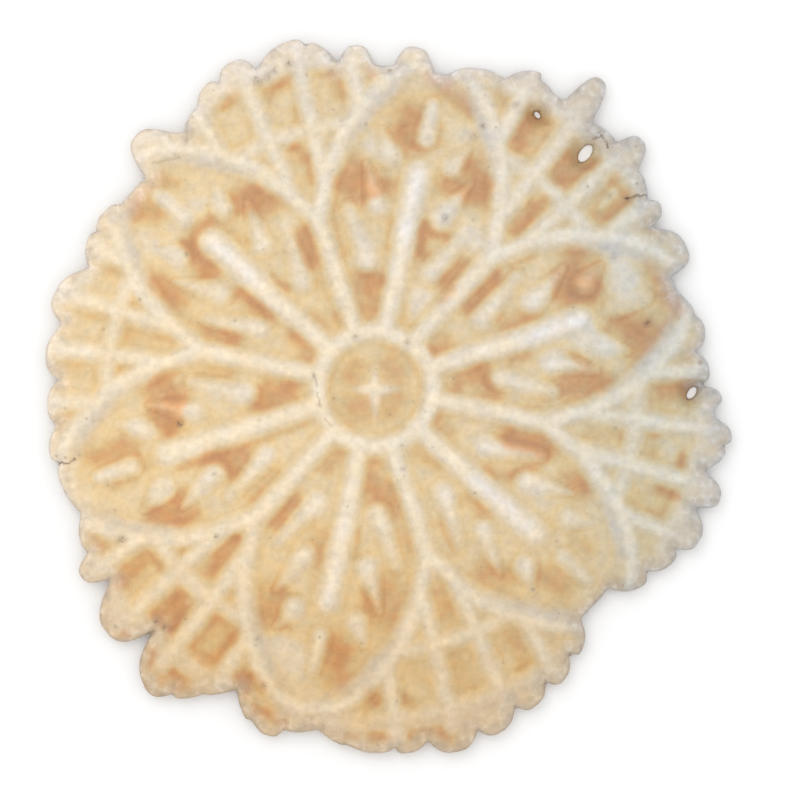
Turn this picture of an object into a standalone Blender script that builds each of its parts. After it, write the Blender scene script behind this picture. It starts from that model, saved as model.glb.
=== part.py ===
"""Pizzelle: a thin crisp wafer pressed between two patterned irons.

One solid. A thin web carries the same raised pattern on both faces: a hub ring with a
four-pointed star, six pointed petals with a spine and dashes, and a waffle lattice in each
corner between two petals. Batter squeezed out of the iron makes the uneven lobed edge.

Metres, +Z up, lying flat. The box of the whole wafer is centred on the origin in X and Y,
and its lowest crests stand on z = 0. Lengths below are in millimetres until MM turns them.
"""
import bpy
import numpy as np

MM = 0.001

# ---- driving dimensions, mm and degrees ----
THICKNESS = 4.4          # crest to crest, over both faces
WEB = 2.0                # sheet between the ridges
SIX = 6                  # petals, and lattice corners between them
PETAL_TURN = 18.1        # direction of the first petal from +X
CREST_SHARE = 0.42       # width of a ridge's flat crest over its width at the web

HUB_RADIUS = 10.9        # centreline of the hub ring
HUB_STEPS = 24
DISC_RADIUS = 7.8        # sunk disc inside the ring
DISC_DEPTH = 0.25
STAR_REACH = 5.5
STAR_WAIST = 1.3
STAR_HEIGHT = 0.75       # above the web

RIB = 1.15               # half width of the main ribs at the web
ARC = 1.0                # half width of the arcs across the lattice
SEPARATOR_END = 33.6     # where a rib between petals forks
PETAL_CENTRE = 33.0      # middle of the ellipse that a petal's sides follow
PETAL_HALF_WIDTH = 16.3
PETAL_HALF_LENGTH = 27.6
PETAL_STEPS = 7

CROSS_RADIUS = 48.9      # the arc that crosses a lattice corner
CROSS_SPREAD = 12.6
CROSS_STEPS = 4

RIM_HEIGHT = 0.75        # rounded edge above the web
RIM_INSETS = (2.4, 1.2)  # where the edge starts to rise, and its crest, in from the outline
RIDGE_MARGIN = 1.5       # ridges stop this far inside the outline
ARCH_POWER = 2.4         # roundness of a lobe: 2 is an ellipse, more is squarer

# Strokes of one petal half, straight out from the hub (across, out): head, tail,
# half widths at head and tail, heights above the web at head and tail.
SPINE = ((0.0, 10.9), (0.0, 40.0), (1.1, 1.7), (1.2, 1.2))
TIP_STROKE = ((0.0, 46.9), (0.0, 53.0), (1.1, 0.8), (0.9, 0.8))
DASHES = (
    ((6.0, 42.9), (8.3, 46.8), (1.5, 0.4), (0.9, 0.25)),
    ((5.9, 32.8), (9.9, 40.3), (1.6, 0.4), (0.9, 0.25)),
    ((5.8, 22.7), (11.2, 31.4), (1.5, 0.8), (0.9, 0.4)),
)
# Ribs of one lattice corner, straight out from the hub between two petals.
LATTICE_RIBS = (
    ((3.3, 38.6), (5.3, 62.0)),
    ((13.3, 49.8), (16.0, 62.0)),
)
LATTICE_HALF_WIDTHS = (1.0, 1.15)
RIB_HEIGHT = 1.0

# Lobes of the edge, counter-clockwise from +X: angle and radius of the notch before each
# lobe, then angle and radius of its tip.
LOBES = (
    (0.4, 60.3, 3.2, 62.9), (6.3, 60.3, 9.3, 62.8), (20.9, 59.4, 24.0, 64.1),
    (29.9, 59.8, 32.3, 63.5), (35.2, 62.0, 37.6, 63.9), (39.4, 64.0, 43.2, 68.2),
    (45.2, 64.0, 47.2, 64.7), (50.2, 64.0, 53.2, 71.4), (56.5, 64.1, 62.4, 66.0),
    (66.5, 63.2, 72.5, 62.4), (78.2, 59.4, 82.8, 63.5), (86.2, 59.8, 88.2, 59.9),
    (90.2, 59.6, 93.0, 63.2), (96.2, 60.2, 99.0, 64.1), (101.2, 64.2, 104.3, 65.9),
    (110.2, 62.7, 113.3, 65.7), (117.0, 63.1, 119.3, 63.8), (126.2, 58.8, 132.6, 63.4),
    (137.2, 57.0, 140.5, 57.5), (144.0, 57.6, 147.0, 59.5), (150.8, 58.7, 153.2, 59.4),
    (157.0, 57.3, 163.5, 61.5), (168.3, 59.0, 174.6, 60.9), (178.7, 58.2, 182.5, 60.4),
    (186.8, 59.2, 191.0, 61.1), (193.7, 59.7, 197.5, 60.5), (203.0, 59.0, 207.6, 61.2),
    (210.2, 60.7, 213.3, 63.9), (215.9, 60.4, 222.6, 66.6), (228.0, 60.5, 233.8, 70.1),
    (240.8, 63.9, 242.9, 63.6), (245.5, 61.2, 251.8, 66.7), (255.5, 64.9, 257.8, 64.9),
    (260.8, 63.9, 268.5, 67.4), (273.4, 65.9, 275.2, 68.1), (278.6, 66.3, 282.8, 69.3),
    (287.0, 66.3, 290.4, 68.0), (294.0, 64.6, 297.2, 66.2), (300.4, 63.0, 303.2, 64.6),
    (306.4, 61.0, 309.0, 61.8), (312.0, 57.5, 315.6, 57.4), (319.4, 57.3, 322.8, 61.6),
    (326.0, 60.9, 329.0, 65.0), (332.0, 64.0, 335.2, 66.8), (339.3, 64.4, 342.3, 67.8),
    (346.0, 64.1, 348.8, 66.5), (351.0, 65.9, 352.7, 67.4), (355.0, 64.3, 357.9, 64.8),
)
LOBE_STEPS = 4

# Holes torn through the wafer near its edge: direction, distance, length, width, and how
# far the long axis leans from straight out.
HOLES = (
    (47.8, 59.1, 3.4, 1.6, 24.0),
    (58.9, 59.2, 1.1, 0.6, 30.0),
    (359.0, 58.9, 2.3, 1.3, 35.0),
)
HOLE_STEPS = 10

# ---- levels above the resting plane, mm ----
MIDDLE = THICKNESS / 2
FULL_HEIGHT = (THICKNESS - WEB) / 2


# ---- the outline ----
def lobe_table():
    """Notch angle, notch radius, tip angle and tip radius of every lobe, closed on itself."""
    lobes = np.array(LOBES)
    again = lobes[:1] + np.array([360.0, 0.0, 360.0, 0.0])
    return np.vstack((lobes, again))


def outline(angles):
    """Radius of the edge at the given angles, and of the smooth line through the notches.

    Between two notches the notch line runs straight; on it stands a superelliptic arch,
    (1 - |2w - 1|^p)^(1/p), with w bent so that the arch peaks at the lobe's own tip.
    """
    table = lobe_table()
    first = table[0, 0]
    turned = first + np.mod(np.asarray(angles, float) - first, 360.0)
    lobe = np.clip(np.searchsorted(table[:, 0], turned, side="right") - 1, 0, len(LOBES) - 1)
    start, end = table[lobe], table[lobe + 1]
    along = (turned - start[:, 0]) / (end[:, 0] - start[:, 0])
    at_tip = (start[:, 2] - start[:, 0]) / (end[:, 0] - start[:, 0])
    base = start[:, 1] + (end[:, 1] - start[:, 1]) * along
    base_at_tip = start[:, 1] + (end[:, 1] - start[:, 1]) * at_tip
    bent = np.power(along, np.log(0.5) / np.log(at_tip))
    arch = np.power(1.0 - np.abs(2.0 * bent - 1.0) ** ARCH_POWER, 1.0 / ARCH_POWER)
    return base + (start[:, 3] - base_at_tip) * arch, base


def edge_angles():
    """Angles round the edge: each lobe's notch, its tip, and steps up and down its arch."""
    table = lobe_table()
    spans = np.diff(table[:, 0])
    at_tip = (table[:-1, 2] - table[:-1, 0]) / spans
    bent = (1.0 - np.cos(np.pi * np.arange(LOBE_STEPS) / LOBE_STEPS)) / 2.0
    shares = bent[None, :] ** (np.log(at_tip) / np.log(0.5))[:, None]
    return (table[:-1, 0:1] + spans[:, None] * shares).ravel()


def box_centre():
    """Middle of the outline's box, measured from the hub."""
    angles = edge_angles()
    radius = outline(angles)[0]
    x = radius * np.cos(np.radians(angles))
    y = radius * np.sin(np.radians(angles))
    return np.array(((x.min() + x.max()) / 2, (y.min() + y.max()) / 2))


HUB = -box_centre()      # where the hub lies once the whole wafer's box is centred


# ---- helpers ----
def petal_point(across, out, direction):
    """Point from the hub, given across and out along a direction, held inside the edge."""
    turn = np.radians(direction)
    x = out * np.cos(turn) + across * np.sin(turn)
    y = out * np.sin(turn) - across * np.cos(turn)
    radius = np.hypot(x, y)
    edge = outline([np.degrees(np.arctan2(y, x))])[1][0] - RIDGE_MARGIN
    share = min(1.0, edge / radius)
    return np.array((x * share, y * share))


def new_object(name, points, faces, material=None):
    """Object from points in millimetres about the hub."""
    placed = (np.asarray(points, float) + np.array((HUB[0], HUB[1], 0.0))) * MM
    mesh = bpy.data.meshes.new(name)
    mesh.from_pydata(placed.tolist(), [], faces)
    mesh.validate()
    if material:
        mesh.materials.append(material)
    thing = bpy.data.objects.new(name, mesh)
    bpy.context.scene.collection.objects.link(thing)
    return thing


def as_cutter(thing):
    """Keep a shape that only adds to or cuts the wafer out of the finished model."""
    thing.hide_render = True
    thing.display_type = "WIRE"
    return thing


def lofted(sections, closed=False):
    """Faces through equal closed sections, with end caps unless the path is closed."""
    count, size = len(sections), len(sections[0])
    points = [point for section in sections for point in section]
    faces = []
    for step in range(count if closed else count - 1):
        here, there = step * size, (step + 1) % count * size
        for corner in range(size):
            after = (corner + 1) % size
            faces.append((here + corner, here + after, there + after, there + corner))
    if not closed:
        last = (count - 1) * size
        faces.append(tuple(range(size))[::-1])
        faces.append(tuple(last + corner for corner in range(size)))
    return points, faces


def bar_section(centre, side, half_width, height):
    """Six-cornered section of a ridge that stands out of both faces of the web.

    The flank runs from the flat crest through the web's face, where the ridge has its
    half width, and on to its widest line at mid thickness, inside the web.
    """
    crest = half_width * CREST_SHARE
    rise = WEB / 2 + height
    widest = crest + (half_width - crest) * rise / height
    corners = ((widest, 0.0), (crest, rise), (-crest, rise),
               (-widest, 0.0), (-crest, -rise), (crest, -rise))
    return [(centre[0] + side[0] * across, centre[1] + side[1] * across, MIDDLE + up)
            for across, up in corners]


def bar(path, half_widths, heights, closed=False):
    """Ridge along a path of points, with a half width and a height at each."""
    path = [np.asarray(point, float) for point in path]
    count = len(path)
    sections = []
    for index, point in enumerate(path):
        before = path[index - 1] if closed or index else point
        after = path[(index + 1) % count] if closed or index + 1 < count else point
        along = (after - before) / np.linalg.norm(after - before)
        side = (along[1], -along[0])
        sections.append(bar_section(point, side, half_widths[index], heights[index]))
    return lofted(sections, closed)


def stroke(head, tail, half_widths, heights, direction, mirror=1):
    """Straight ridge with rounded ends, from head to tail, in a petal's own directions."""
    head, tail = np.array(head, float), np.array(tail, float)
    along = (tail - head) / np.linalg.norm(tail - head)
    wide, narrow = half_widths
    high, low = heights
    stations = (
        (head - along * wide, wide * 0.5, high * 0.5),
        (head - along * wide * 0.2, wide, high),
        (tail + along * narrow, narrow * 0.8, low * 0.8),
    )
    path = [petal_point(mirror * place[0], place[1], direction) for place, _, _ in stations]
    return bar(path, [width for _, width, _ in stations], [rise for _, _, rise in stations])


def blunt_bar(points, half_widths, height, direction, mirror=1):
    """Ridge with square ends, whose ends lie inside the ridges that it meets."""
    path = [petal_point(mirror * across, out, direction) for across, out in points]
    widths = np.linspace(half_widths[0], half_widths[1], len(path))
    return bar(path, widths, [height] * len(path))


def cross_arc():
    """Points (across, out) of the arc about the hub that crosses a lattice corner."""
    turns = np.radians(np.linspace(-CROSS_SPREAD, CROSS_SPREAD, CROSS_STEPS))
    return [(CROSS_RADIUS * np.sin(turn), CROSS_RADIUS * np.cos(turn)) for turn in turns]


# ---- the pattern ----
def hub_ring():
    """Round ridge about the hub."""
    turns = np.radians(np.arange(HUB_STEPS) * 360.0 / HUB_STEPS)
    path = [(HUB_RADIUS * np.cos(turn), HUB_RADIUS * np.sin(turn)) for turn in turns]
    return bar(path, [RIB] * HUB_STEPS, [FULL_HEIGHT] * HUB_STEPS, closed=True)


def hub_star():
    """Four-pointed star with hollow sides, a low pyramid on either face."""
    rise = WEB / 2 + STAR_HEIGHT
    ring = []
    for point in range(8):
        reach = STAR_WAIST if point % 2 else STAR_REACH
        turn = np.radians(45.0 * point)
        ring.append((reach * np.cos(turn), reach * np.sin(turn), MIDDLE))
    points = ring + [(0.0, 0.0, MIDDLE + rise), (0.0, 0.0, MIDDLE - rise)]
    faces = []
    for point in range(8):
        after = (point + 1) % 8
        faces.append((point, after, 8))
        faces.append((after, point, 9))
    return points, faces


def petal_side_path():
    """From the fork of two separators, tangent to an ellipse, and up to the petal's tip."""
    fork = (SEPARATOR_END * np.sin(np.pi / SIX), SEPARATOR_END * np.cos(np.pi / SIX))
    turns = np.linspace(np.radians(2.0), np.radians(90.0), PETAL_STEPS)
    sweep = [(PETAL_HALF_WIDTH * np.cos(turn),
              PETAL_CENTRE + PETAL_HALF_LENGTH * np.sin(turn)) for turn in turns]
    return [(fork[0] * 0.97, fork[1] * 0.97)] + sweep


def petal_ridges(direction):
    """Spine, tip stroke, dashes and the two sides of one petal."""
    pieces = [stroke(*SPINE, direction), stroke(*TIP_STROKE, direction)]
    for mirror in (1, -1):
        pieces.append(blunt_bar(petal_side_path(), (RIB, RIB), RIB_HEIGHT, direction, mirror))
        pieces += [stroke(*dash, direction, mirror) for dash in DASHES]
    return pieces


def lattice_ridges(direction):
    """Separator rib, the four ribs of a lattice corner and the arc that crosses them."""
    separator = ((0.0, HUB_RADIUS), (0.0, SEPARATOR_END))
    pieces = [blunt_bar(separator, (RIB, RIB), RIB_HEIGHT, direction)]
    for mirror in (1, -1):
        for rib in LATTICE_RIBS:
            pieces.append(blunt_bar(rib, LATTICE_HALF_WIDTHS, RIB_HEIGHT, direction, mirror))
    pieces.append(blunt_bar(cross_arc(), (ARC, ARC), RIB_HEIGHT, direction))
    return pieces


def all_ridges():
    """Every ridge of both faces as one object of overlapping closed bars."""
    pieces = [hub_ring(), hub_star()]
    for petal in range(SIX):
        direction = PETAL_TURN + 360.0 / SIX * petal
        pieces += petal_ridges(direction)
        pieces += lattice_ridges(direction + 180.0 / SIX)
    points, faces = [], []
    for piece_points, piece_faces in pieces:
        offset = len(points)
        points += [tuple(point) for point in piece_points]
        faces += [tuple(offset + corner for corner in face) for face in piece_faces]
    return as_cutter(new_object("ridges", points, faces))


# ---- the web, its rim and what is cut away ----
def web(material):
    """Sheet with a rounded, slightly raised edge that follows the lobes."""
    angles = edge_angles()
    edge, notches = outline(angles)
    turns = np.radians(angles)
    flat_inset, crest_inset = RIM_INSETS
    inner = notches - flat_inset
    crest = edge - crest_inset
    levels = ((inner, WEB / 2), (crest, WEB / 2 + RIM_HEIGHT), (edge, 0.0),
              (crest, -WEB / 2 - RIM_HEIGHT), (inner, -WEB / 2))
    sections = []
    for radius, up in levels:
        sections.append(list(zip(radius * np.cos(turns), radius * np.sin(turns),
                                 np.full(len(turns), MIDDLE + up))))
    points, faces = lofted(sections[::-1])
    return new_object("wafer", points, faces, material)


def disc_cutter(up):
    """Round cutter that sinks the disc inside the hub ring, above or below the web."""
    reach = WEB / 2 - DISC_DEPTH
    levels = sorted((MIDDLE + up * reach, MIDDLE + up * (reach + 1.0)))
    turns = np.radians(np.arange(HUB_STEPS) * 360.0 / HUB_STEPS)
    sections = [[(DISC_RADIUS * np.cos(turn), DISC_RADIUS * np.sin(turn), level)
                 for turn in turns] for level in levels]
    return lofted(sections)


def hole_cutter(direction, distance, length, width, lean):
    """Oval cutter through the wafer for a torn hole."""
    turn, tilt = np.radians(direction), np.radians(direction + lean)
    middle = np.array((distance * np.cos(turn), distance * np.sin(turn)))
    along = np.array((np.cos(tilt), np.sin(tilt)))
    side = np.array((-along[1], along[0]))
    sections = []
    for level in (-1.0, THICKNESS + 1.0):
        section = []
        for step in range(HOLE_STEPS):
            phase = 2 * np.pi * step / HOLE_STEPS
            place = middle + along * length / 2 * np.cos(phase) + side * width / 2 * np.sin(phase)
            section.append((place[0], place[1], level))
        sections.append(section)
    return lofted(sections)


def combine(target, name, operation, other, overlapping=False):
    """Boolean modifier that adds or cuts another object."""
    modifier = target.modifiers.new(name, "BOOLEAN")
    modifier.operation = operation
    modifier.object = other
    modifier.solver = "EXACT"
    modifier.use_self = overlapping


def wafer_material():
    """Pale baked batter."""
    material = bpy.data.materials.new("baked_batter")
    material.use_nodes = True
    shader = material.node_tree.nodes["Principled BSDF"]
    shader.inputs["Base Color"].default_value = (0.82, 0.62, 0.38, 1.0)
    shader.inputs["Roughness"].default_value = 0.7
    shader.inputs["Metallic"].default_value = 0.0
    return material


def main():
    for thing in list(bpy.data.objects):
        bpy.data.objects.remove(thing, do_unlink=True)
    wafer = web(wafer_material())
    for up, name in ((1, "disc_above"), (-1, "disc_below")):
        combine(wafer, name, "DIFFERENCE", as_cutter(new_object(name, *disc_cutter(up))))
    combine(wafer, "pattern", "UNION", all_ridges(), overlapping=True)
    for index, hole in enumerate(HOLES):
        name = "hole_%d" % index
        combine(wafer, name, "DIFFERENCE", as_cutter(new_object(name, *hole_cutter(*hole))))
    wafer.data.shade_smooth()
    wafer.data.set_sharp_from_angle(angle=np.radians(30.0))


main()
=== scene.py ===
"""A baked pizzelle wafer: pale raised pattern, tan fields with toasted patches, lobed edge.

The wafer is one closed skin worked out as whole arrays. Lengths in the pattern are in
millimetres from the hub of the flower; MM and the frame's own box put them in place.
"""

import bpy
import numpy as np
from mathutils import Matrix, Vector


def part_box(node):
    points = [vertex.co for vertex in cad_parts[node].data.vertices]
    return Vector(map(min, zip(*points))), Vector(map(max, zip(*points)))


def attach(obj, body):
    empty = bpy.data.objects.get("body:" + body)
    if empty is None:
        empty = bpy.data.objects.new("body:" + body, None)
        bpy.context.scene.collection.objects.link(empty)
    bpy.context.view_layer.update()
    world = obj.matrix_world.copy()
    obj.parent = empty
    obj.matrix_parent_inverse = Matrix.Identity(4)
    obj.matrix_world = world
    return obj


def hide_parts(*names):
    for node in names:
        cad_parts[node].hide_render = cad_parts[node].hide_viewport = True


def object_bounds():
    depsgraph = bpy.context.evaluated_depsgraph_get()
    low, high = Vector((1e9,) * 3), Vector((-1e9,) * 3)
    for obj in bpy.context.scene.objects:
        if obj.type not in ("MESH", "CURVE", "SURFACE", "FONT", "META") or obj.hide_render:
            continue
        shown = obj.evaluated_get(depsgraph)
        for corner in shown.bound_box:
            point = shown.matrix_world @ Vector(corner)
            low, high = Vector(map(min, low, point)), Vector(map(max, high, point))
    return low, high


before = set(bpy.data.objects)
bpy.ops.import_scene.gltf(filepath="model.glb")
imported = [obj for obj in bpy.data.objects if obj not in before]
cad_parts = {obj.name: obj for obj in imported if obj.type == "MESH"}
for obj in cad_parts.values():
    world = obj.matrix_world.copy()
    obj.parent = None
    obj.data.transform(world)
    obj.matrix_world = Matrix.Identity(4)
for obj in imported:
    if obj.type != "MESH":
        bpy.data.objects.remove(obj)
cad_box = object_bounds()

MM = 0.001
WAFER_BOX = np.array(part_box("wafer")) / MM

# ---- the iron's pattern, as the frame's wafer has it ----
THICKNESS = WAFER_BOX[1, 2] - WAFER_BOX[0, 2]
MIDDLE = WAFER_BOX[0, 2] + THICKNESS / 2
WEB = 2.0
PETALS = 6
SECTOR = 360.0 / PETALS
PETAL_TURN = 18.1  # degrees from the right to the first petal
CORNER_TURN = PETAL_TURN + SECTOR / 2
HUB_TO_MIDDLE = (3.15, -1.7)  # right and up from the hub to the middle of the wafer
HUB_SHIFT = (0.45, -0.3)  # of the ring, disc and star from the petals' meeting
RING_RADIUS = 10.65
DISC_RADIUS = 7.8
STAR_REACH = ((6.8, 5.8), (5.4, 7.4))  # right and left, up and down
STAR_HEIGHT = 1.25
SEPARATOR_END = 33.6
SEPARATOR = ((0.0, 10.9), (0.0, SEPARATOR_END), (1.25, 1.35), (1.05, 1.0))
FORK = 0.97  # share of a separator at which its petal sides begin
PETAL_CENTRE = 33.0
PETAL_HALF_WIDTH = 16.3
PETAL_HALF_LENGTH = 27.6
CROSS_RADIUS = 48.9
CROSS_SPREAD = 12.6
BORDER_RADIUS = 61.0
BORDER_SPREAD = 17.0
# Half width and height of the ridges that keep one size.
CROSS_SECTION = (1.2, 0.7)
BORDER_SECTION = (1.4, 0.55)
RING_SECTION = (1.25, 1.1)
PETAL_HEIGHT = 1.0
# Powers that round the arch of an edge lobe.
ARCH_ROUNDNESS = 3.0
ARCH_SPREAD = 1.2

# Strokes straight out from the hub, (across, out): head, tail, half widths, heights.
SPINE = ((0.0, 10.9), (0.0, 40.0), (1.25, 1.7), (1.1, 1.2))
TIP_STROKE = ((0.0, 46.9), (0.0, 53.0), (1.2, 0.9), (0.95, 0.7))
TIP_FULLNESS = (0.2, 1.0, 1.0, 1.0, 1.0, 0.8)    # how much of it each petal has
DASHES = (
    ((6.0, 42.9), (8.3, 46.8), (1.4, 0.5), (0.9, 0.2)),
    ((5.9, 32.8), (9.9, 40.3), (1.5, 0.45), (0.95, 0.35)),
    ((5.8, 22.7), (11.2, 31.4), (1.4, 0.85), (0.9, 0.5)),
)
LATTICE_RIBS = (
    ((3.3, 38.6), (5.3, 63.5), (1.2, 1.3), (0.9, 0.85)),
    ((13.3, 49.8), (16.2, 63.5), (1.25, 1.35), (0.9, 0.85)),
)

# Lobes of the edge, counter-clockwise from +X: angle and radius of the notch before each
# lobe, then angle and radius of its tip.
LOBES = np.array((
    (0.4, 60.4, 2.9, 62.3), (6.4, 59.9, 9.2, 62.2), (12.8, 61.0, 14.6, 60.7),
    (17.2, 59.2, 18.6, 59.0), (20.4, 58.9, 24.0, 63.6), (30.0, 59.2, 31.7, 62.8),
    (34.4, 61.5, 36.6, 62.9), (39.2, 63.4, 42.6, 67.6), (45.3, 63.4, 47.1, 64.2),
    (50.4, 63.4, 53.4, 70.9), (56.3, 63.8, 57.5, 63.7), (58.6, 63.9, 60.2, 64.6),
    (61.4, 64.7, 63.2, 65.6), (66.8, 62.3, 72.5, 62.0), (76.4, 59.6, 77.8, 59.3),
    (79.0, 59.3, 82.8, 63.5), (86.4, 59.7, 88.2, 59.6), (90.0, 59.8, 92.8, 63.4),
    (96.2, 60.2, 99.0, 64.1), (101.2, 64.2, 104.3, 65.9), (110.2, 62.7, 113.3, 65.7),
    (117.0, 63.1, 119.3, 63.8), (122.3, 61.1, 124.2, 60.6), (126.3, 59.0, 133.6, 64.0),
    (137.4, 57.2, 140.5, 57.5), (144.0, 57.6, 147.0, 59.5), (150.8, 58.7, 153.2, 59.4),
    (157.0, 57.3, 163.5, 61.5), (168.3, 59.0, 174.6, 60.9), (178.7, 58.2, 182.5, 60.4),
    (186.8, 59.2, 191.0, 61.1), (193.7, 59.7, 197.5, 60.5), (203.0, 59.0, 207.6, 61.2),
    (210.0, 60.8, 213.1, 64.4), (216.0, 60.4, 222.8, 67.0), (228.0, 60.5, 231.6, 69.0),
    (236.9, 67.8, 238.6, 67.5), (241.1, 64.7, 242.6, 64.1), (245.7, 61.4, 248.2, 65.0),
    (249.6, 65.6, 253.2, 67.3), (255.4, 65.5, 257.8, 65.3), (260.8, 64.2, 264.0, 66.1),
    (265.6, 66.3, 270.2, 67.7), (273.5, 66.7, 275.4, 68.0), (278.8, 66.3, 283.0, 69.2),
    (287.0, 66.3, 290.4, 68.0), (294.0, 64.6, 297.2, 66.2), (300.4, 63.0, 303.2, 64.6),
    (306.4, 61.0, 309.0, 61.8), (312.0, 57.5, 315.6, 57.4), (319.4, 57.3, 322.8, 61.6),
    (326.0, 60.9, 329.0, 64.0), (332.0, 63.2, 334.8, 66.7), (339.6, 63.5, 342.2, 67.4),
    (345.8, 63.3, 348.8, 66.1), (350.5, 65.4, 352.5, 66.9), (354.8, 63.8, 358.9, 64.3),
))

# Torn holes: direction, distance, length, width, lean of the long axis from straight out.
HOLES = ((47.8, 58.4, 3.6, 2.0, 5.0), (58.9, 58.8, 1.5, 0.9, 71.0),
         (359.0, 58.9, 2.5, 1.4, 55.0))

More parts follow.
